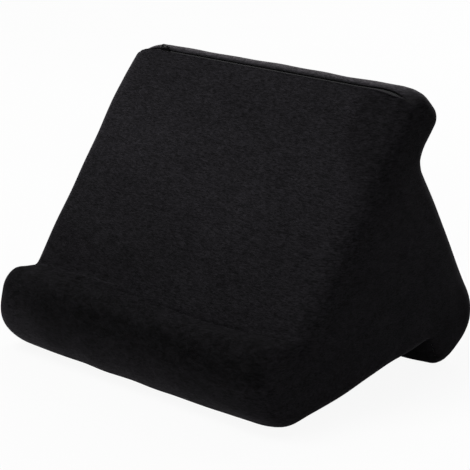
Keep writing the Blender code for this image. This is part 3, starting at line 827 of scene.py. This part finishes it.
def make_layer(cover, outer, normals, name, chosen, sides, top_depth, thickness, opened, material):
    """One sewn layer as a closed piece between two depths, pulled back from the seams on its sides."""
    faces = [cover.faces[k] for k in chosen]
    used = np.unique(np.concatenate([np.array(face) for face in faces]))
    local = np.full(len(outer), -1)
    local[used] = np.arange(len(used))
    faces = [tuple(int(n) for n in local[list(face)]) for face in faces]
    along = normals[used]
    top = outer[used] - along * top_depth
    bottom = top - along * thickness
    tangent = np.cross(along, np.array([1.0, 0.0, 0.0]))
    tangent /= np.maximum(np.linalg.norm(tangent, axis=1), TINY)[:, None]
    own_normals = along.copy()
    for seam, side in sides:
        distance = cover.row_distance(seam)[used] * side
        half, reach = np.full(len(top), SEAM_GAP / 2), SEAM_REACH
        if seam == "mouth" and opened:
            most, reach = FRONT_PULL if side == 1 else CREST_PULL
            half = mouth_pull(top[:, 0], most)
        near = distance > -SEAM_SIDE
        pull = half * (1.0 - smooth_step(distance, 0.0, reach)) * near
        top -= tangent * (pull * side)[:, None]
        bottom -= tangent * (pull * side)[:, None]
        if seam == "mouth":
            deepest, roll_reach = FRONT_ROLL if side == 1 else CREST_ROLL
            roll = deepest * np.clip(1.0 - distance / roll_reach, 0.0, 1.0) ** 2
            roll *= 1.0 - ROLL_LOSS * smooth_step(top[:, 0], *RIGHT_FADE)
            top -= along * (roll * near)[:, None]
            bottom -= along * (roll * near)[:, None]
            close = near & (distance < max(reach, roll_reach))
            own_normals[close] = point_normals(top, split(faces))[close]
    edge = np.abs(cover.end_distance()[used]) < ON_SEAM
    outward = np.sign(top[:, 0]) * (-1.0 if sides else 1.0)
    top[edge, 0] += outward[edge] * SEAM_GAP / 2
    bottom[edge, 0] += outward[edge] * SEAM_GAP / 2
    piece = add_mesh(name, np.concatenate([top, bottom]), closed_shell(faces, len(used)), material)
    piece.data.normals_split_custom_set_from_vertices(np.concatenate([own_normals, -own_normals]).tolist())
    slit = (np.abs(cover.row_distance("mouth")[used]) < ON_SEAM) & (("mouth", -1) in sides)
    paint_tone_and_sheen(piece, cover, used, slit)
    return piece


def make_panel(cover, outer, normals, panel, material):
    """One of the cover's six panels."""
    chosen = np.nonzero(cover.panels == panel)[0]
    sides = ()
    if panel < len(ROW_SEAMS):
        sides = ((ROW_SEAMS[panel], 1), (ROW_SEAMS[(panel + 1) % len(ROW_SEAMS)], -1))
    return make_layer(cover, outer, normals, f"{PANELS[panel]}_cover", chosen, sides, 0.0, COVER_THICKNESS,
                      True, material)


def make_tape(cover, outer, normals, name, side, material):
    """One of the zip's two tapes, under one edge of the mouth."""
    distance = cover.row_distance("mouth") * side
    inside = (distance > -ON_SEAM) & (distance < TAPE_WIDTH) & (np.abs(outer[:, 0]) < TAPE_HALF)
    chosen = [k for k, face in enumerate(cover.faces) if inside[list(face)].all()]
    return make_layer(cover, outer, normals, name, chosen, (("mouth", side),), TAPE_DEPTH, TAPE_THICKNESS,
                      False, material)


def make_foam(cover, material):
    """The block of foam inside the cover, with a hollow under the zip."""
    under_zip = 1.0 - smooth_step(np.abs(cover.row_distance("mouth")), *FOAM_ZIP_FADE)
    depth = FOAM_DEPTH + (FOAM_ZIP_DEPTH - FOAM_DEPTH) * under_zip
    points = cover.points - cover.normals(cover.points) * depth[:, None]
    return add_mesh("foam_block", points, cover.faces, material)


def squared(value):
    """Sine or cosine of a coil's turn, made squarer than a circle's."""
    return math.copysign(abs(value) ** COIL_SQUARENESS, value)


def make_coil(node, material):
    """One half of the zip's chain as turns of nylon wire, in its node's box."""
    low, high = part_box(node)
    turns = int((high.x - low.x) / COIL_PITCH)
    centre = (low + high) / 2
    half = (high - low) / 2 - Vector((1, 1, 1)) * COIL_WIRE
    path = []
    for k in range(turns * COIL_STEPS + 1):
        angle = 2 * math.pi * k / COIL_STEPS
        along = 2 * k / (turns * COIL_STEPS) - 1
        path.append(centre + half * Vector((along, squared(math.cos(angle)), squared(math.sin(angle)))))
    points = []
    faces = []
    for k, place in enumerate(path):
        before = path[max(k - 1, 0)]
        after = path[min(k + 1, len(path) - 1)]
        direction = (after - before).normalized()
        side = direction.cross(Vector((1, 0, 0))).normalized()
        other = direction.cross(side)
        for n in range(COIL_SIDES):
            turn = 2 * math.pi * n / COIL_SIDES
            points.append(tuple(place + (side * math.cos(turn) + other * math.sin(turn)) * COIL_WIRE))
            if k:
                a = (k - 1) * COIL_SIDES + n
                b = (k - 1) * COIL_SIDES + (n + 1) % COIL_SIDES
                faces.append((a, b, b + COIL_SIDES, a + COIL_SIDES))
    faces.append(tuple(range(COIL_SIDES)))
    faces.append(tuple(reversed(range(len(points) - COIL_SIDES, len(points)))))
    return add_mesh(node + "_turns", points, faces, material)


class Nodes:
    """Helper that builds the nodes of a material or of the world."""

    def __init__(self, owner, shader="Principled BSDF"):
        owner.use_nodes = True
        self.owner = owner
        self.tree = owner.node_tree
        self.shader = self.tree.nodes[shader]

    def add(self, kind, **values):
        """New node with its named inputs set or linked."""
        node = self.tree.nodes.new(kind)
        for key, value in values.items():
            if key in node.inputs:
                self.put(node.inputs[key], value)
            else:
                setattr(node, key, value)
        return node

    def put(self, socket, value):
        """Links a socket, or sets its value."""
        if isinstance(value, bpy.types.NodeSocket):
            self.tree.links.new(value, socket)
        else:
            socket.default_value = value

    def noise(self, scale, stretch=(1.0, 1.0, 1.0), detail=2.0, roughness=0.5, distortion=0.0):
        """Noise in the object's own coordinates."""
        place = self.add("ShaderNodeTexCoord").outputs["Object"]
        mapping = self.add("ShaderNodeMapping", Vector=place, Scale=stretch)
        texture = self.add("ShaderNodeTexNoise", Vector=mapping.outputs["Vector"], Scale=scale, Detail=detail,
                           Roughness=roughness, Distortion=distortion)
        return texture.outputs["Fac"]

    def math(self, operation, a, b=0.0):
        """Sum, product or other operation on two values."""
        node = self.add("ShaderNodeMath", operation=operation)
        self.put(node.inputs[0], a)
        self.put(node.inputs[1], b)
        return node.outputs[0]

    def ramp(self, value, low, high, out_low, out_high):
        """Value from one range carried to another."""
        node = self.add("ShaderNodeMapRange", Value=value)
        for key, number in (("From Min", low), ("From Max", high), ("To Min", out_low), ("To Max", out_high)):
            self.put(node.inputs[key], number)
        return node.outputs["Result"]

    def mix(self, share, first, second):
        """Mix of two colours."""
        node = self.add("ShaderNodeMix", data_type="RGBA")
        self.put(node.inputs[0], share)
        self.put(node.inputs[6], first)
        self.put(node.inputs[7], second)
        return node.outputs[2]

    def bump(self, height, strength, distance, normal=None):
        """Relief from a height."""
        node = self.add("ShaderNodeBump", Height=height, Strength=strength, Distance=distance)
        if normal is not None:
            self.put(node.inputs["Normal"], normal)
        return node.outputs["Normal"]

    def set(self, **values):
        """Sets or links the shader's own sockets."""
        for key, value in values.items():
            self.put(self.shader.inputs[key.replace("_", " ")], value)


def plush_material():
    """Near-black short velour: its tone follows the way its nap lies with painted light and shade, and a
    painted sheen makes it lighter where it is seen at a grazing angle.
    """
    n = Nodes(bpy.data.materials.new("black_plush"))
    streaks = n.noise(1.0, (290.0, 320.0, 1500.0), detail=3.0, roughness=0.6, distortion=0.8)
    fibres = n.noise(1.0, (1500.0, 1500.0, 3200.0), detail=2.0, roughness=0.6)
    brushed = n.noise(1.0, (16.0, 26.0, 26.0), detail=3.0, roughness=0.55, distortion=0.6)
    marks = n.noise(1.0, (150.0, 120.0, 260.0), detail=2.0, roughness=0.55, distortion=0.8)
    tone = n.math("MULTIPLY", n.ramp(streaks, 0.36, 0.64, 0.35, 1.65), n.ramp(fibres, 0.34, 0.66, 0.72, 1.28))
    tone = n.math("MULTIPLY", tone, n.ramp(brushed, 0.34, 0.66, 0.91, 1.09))
    lie_and_shade = n.add("ShaderNodeAttribute", attribute_name="nap_and_shade_tone").outputs["Fac"]
    sheen_share = n.add("ShaderNodeAttribute", attribute_name="painted_sheen").outputs["Fac"]
    # Painted sheen: the base colour is painted lighter and warmer where the surface is seen at a grazing
    # angle, by each point's painted sheen share
    facing = n.add("ShaderNodeLayerWeight", Blend=0.5).outputs["Facing"]
    along = n.math("POWER", n.ramp(facing, 0.42, 0.95, 0.0, 1.0), 1.5)
    along = n.math("MULTIPLY", along, sheen_share)
    tone = n.math("MULTIPLY", tone, n.math("ADD", lie_and_shade, n.math("MULTIPLY", along, PAINTED_SHEEN_GAIN)))
    tone = n.math("MULTIPLY", tone, n.ramp(marks, 0.34, 0.66, 0.86, 1.14))
    dark = n.math("SUBTRACT", 1.0, lie_and_shade)
    tone = n.math("ADD", tone, n.math("MULTIPLY", n.ramp(marks, 0.34, 0.66, -0.12, 0.12), dark))
    tone = n.math("MAXIMUM", tone, 0.02)
    # The second colour is the painted sheen's warm tint
    sheen_tinted = n.mix(along, (0.0112, 0.0105, 0.0122, 1.0), (0.0117, 0.0106, 0.0110, 1.0))
    colour = n.add("ShaderNodeVectorMath", operation="SCALE", Vector=sheen_tinted, Scale=tone)
    rough = n.ramp(streaks, 0.3, 0.7, 0.82, 1.0)
    height = n.math("ADD", n.math("MULTIPLY", streaks, 0.7), n.math("MULTIPLY", fibres, 0.3))
    relief = n.bump(height, 0.55, 0.0007)
    relief = n.bump(brushed, 0.25, 0.003, relief)
    n.set(Base_Color=colour.outputs[0], Roughness=rough, Normal=relief, Specular_IOR_Level=0.05)
    n.set(Sheen_Weight=0.01, Sheen_Roughness=0.40, Sheen_Tint=(0.95, 0.9, 1.0, 1.0))
    return n.owner


def foam_material():
    """Open-celled polyurethane foam."""
    n = Nodes(bpy.data.materials.new("cut_foam"))
    cells = n.noise(1.0, (900.0, 900.0, 900.0), detail=2.0, roughness=0.7)
    yellowing = n.noise(14.0, detail=3.0)
    colour = n.mix(n.ramp(yellowing, 0.3, 0.7, 0.0, 1.0), (0.62, 0.58, 0.46, 1.0), (0.74, 0.71, 0.62, 1.0))
    colour = n.mix(n.ramp(cells, 0.35, 0.65, 0.5, 0.0), colour, (0.3, 0.28, 0.22, 1.0))
    n.set(Base_Color=colour, Roughness=n.ramp(cells, 0.3, 0.7, 0.8, 1.0), Normal=n.bump(cells, 0.8, 0.0008))
    return n.owner


def tape_material():
    """Black polyester zip tape, woven in fine ribs."""
    n = Nodes(bpy.data.materials.new("zip_tape_weave"))
    place = n.add("ShaderNodeTexCoord").outputs["Object"]
    ribs = n.add("ShaderNodeTexWave", Vector=place, Scale=480.0, Distortion=0.4, Detail=1.0)
    ribs.bands_direction = "X"
    threads = n.noise(1.0, (2600.0, 900.0, 900.0), detail=2.0)
    share = n.math("ADD", n.math("MULTIPLY", ribs.outputs["Fac"], 0.5), n.math("MULTIPLY", threads, 0.5))
    colour = n.mix(share, (0.004, 0.004, 0.0045, 1.0), (0.012, 0.012, 0.013, 1.0))
    n.set(Base_Color=colour, Roughness=n.ramp(threads, 0.3, 0.7, 0.7, 0.9), Normal=n.bump(share, 0.6, 0.0003))
    return n.owner


def coil_material():
    """Black nylon monofilament."""
    n = Nodes(bpy.data.materials.new("zip_coil_nylon"))
    smudges = n.noise(260.0, detail=3.0)
    colour = n.mix(smudges, (0.005, 0.005, 0.0055, 1.0), (0.012, 0.012, 0.013, 1.0))
    rough = n.ramp(smudges, 0.3, 0.7, 0.28, 0.48)
    n.set(Base_Color=colour, Roughness=rough, Normal=n.bump(n.noise(1800.0), 0.15, 0.0001))
    return n.owner


def slider_material():
    """Black enamel on a zinc casting, worn a little lighter in places."""
    n = Nodes(bpy.data.materials.new("slider_enamel"))
    wear = n.noise(420.0, detail=4.0, roughness=0.65)
    colour = n.mix(n.ramp(wear, 0.55, 0.72, 0.0, 1.0), (0.012, 0.012, 0.013, 1.0), (0.060, 0.058, 0.055, 1.0))
    rough = n.ramp(wear, 0.3, 0.7, 0.25, 0.45)
    n.set(Base_Color=colour, Roughness=rough, Metallic=0.5, Normal=n.bump(n.noise(900.0), 0.2, 0.0001))
    return n.owner


def floor_material():
    """Pale floor that the camera sees as almost white, with the object's shadow kept."""
    n = Nodes(bpy.data.materials.new("pale_floor"))
    tone = n.ramp(n.noise(3.0, detail=2.0), 0.3, 0.7, 0.60, 0.64)
    n.set(Base_Color=n.mix(tone, (0.0, 0.0, 0.0, 1.0), (1.0, 1.0, 1.0, 1.0)), Roughness=0.9)
    white = n.add("ShaderNodeEmission", Color=(1.0, 1.0, 1.0, 1.0), Strength=1.0)
    seen = n.add("ShaderNodeLightPath").outputs["Is Camera Ray"]
    mixed = n.add("ShaderNodeMixShader", Fac=n.math("MULTIPLY", seen, FLOOR_WHITE))
    n.put(mixed.inputs[1], n.shader.outputs[0])
    n.put(mixed.inputs[2], white.outputs[0])
    n.put(n.tree.nodes["Material Output"].inputs["Surface"], mixed.outputs[0])
    return n.owner


def make_world():
    """Plain soft surroundings that the camera sees as white."""
    n = Nodes(bpy.data.worlds.new("surroundings"), "Background")
    path = n.add("ShaderNodeLightPath").outputs
    seen = n.math("MAXIMUM", path["Is Camera Ray"], path["Is Transmission Ray"])
    n.set(Color=(1.0, 1.0, 1.0, 1.0), Strength=n.ramp(seen, 0.0, 1.0, SURROUNDINGS, 1.0))
    bpy.context.scene.world = n.owner


def make_lamps():
    """Large soft lamps that point at the stand."""
    for name, (place, size, power) in LAMPS.items():
        lamp = bpy.data.lights.new(name, "AREA")
        lamp.size = size
        lamp.energy = power
        obj = bpy.data.objects.new(name, lamp)
        obj.location = place
        obj.rotation_mode = "QUATERNION"
        obj.rotation_quaternion = (Vector(LAMPS_TARGET) - Vector(place)).to_track_quat("-Z", "Y")
        bpy.context.scene.collection.objects.link(obj)


def make_floor():
    """Plain pale floor under the stand."""
    points = [(x * FLOOR_HALF, y * FLOOR_HALF, FLOOR_LEVEL) for x, y in ((-1, -1), (1, -1), (1, 1), (-1, 1))]
    floor = add_mesh("floor", points, [(0, 1, 2, 3)], floor_material())


def make_camera():
    """Camera at the photograph's viewing angle."""
    a = math.radians(VIEW_AZIMUTH)
    e = math.radians(VIEW_ELEVATION)
    roll = math.radians(VIEW_ROLL)
    right = Vector((math.cos(a), math.sin(a), 0.0))
    up = Vector((-math.sin(a) * math.sin(e), math.cos(a) * math.sin(e), math.cos(e)))
    ahead = Vector((-math.sin(a) * math.cos(e), math.cos(a) * math.cos(e), -math.sin(e)))
    turned_right = right * math.cos(roll) + up * math.sin(roll)
    turned_up = up * math.cos(roll) - right * math.sin(roll)
    data = bpy.data.cameras.new("camera")
    data.lens = VIEW_LENS
    data.sensor_width = VIEW_SENSOR
    data.clip_end = VIEW_CLIP
    camera = bpy.data.objects.new("camera", data)
    columns = Matrix((turned_right, turned_up, -ahead)).transposed().to_4x4()
    camera.matrix_world = Matrix.Translation(Vector(VIEW_TARGET) - ahead * VIEW_DISTANCE) @ columns
    bpy.context.scene.collection.objects.link(camera)
    bpy.context.scene.camera = camera


def dress():
    """All pieces of the stand, each on the body that it moves with."""
    plush = plush_material()
    rough = Cover(*ROUGH_STEPS)
    cover = Cover(*FINE_STEPS)
    moves = carried(held(rough, inflate(rough)), rough, cover.points)
    outer = shaped(cover, moves)
    normals = cover.normals(outer)
    for number, name in enumerate(PANELS):
        piece = make_panel(cover, outer, normals, number, plush)
        node = f"end_panel_{name[4:]}" if name.startswith("end") else f"{name}_panel"
        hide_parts(node)
        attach(piece, "cushion")
    foam = make_foam(rough, foam_material())
    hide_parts("foam_core")
    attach(foam, "cushion")
    nylon = coil_material()
    for node in ("zip_coil_front", "zip_coil_rear"):
        coil = make_coil(node, nylon)
        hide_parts(node)
        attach(coil, "cushion")
    tape = tape_material()
    for node, side in (("zip_tape_front", 1), ("zip_tape_rear", -1)):
        piece = make_tape(cover, outer, normals, node + "_weave", side, tape)
        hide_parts(node)
        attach(piece, "cushion")
    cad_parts["zip_slider"].material_slots[0].material = slider_material()


dress()
make_floor()
make_world()
make_lamps()
make_camera()
bpy.context.scene.view_settings.view_transform = "Standard"

bpy.context.view_layer.update()
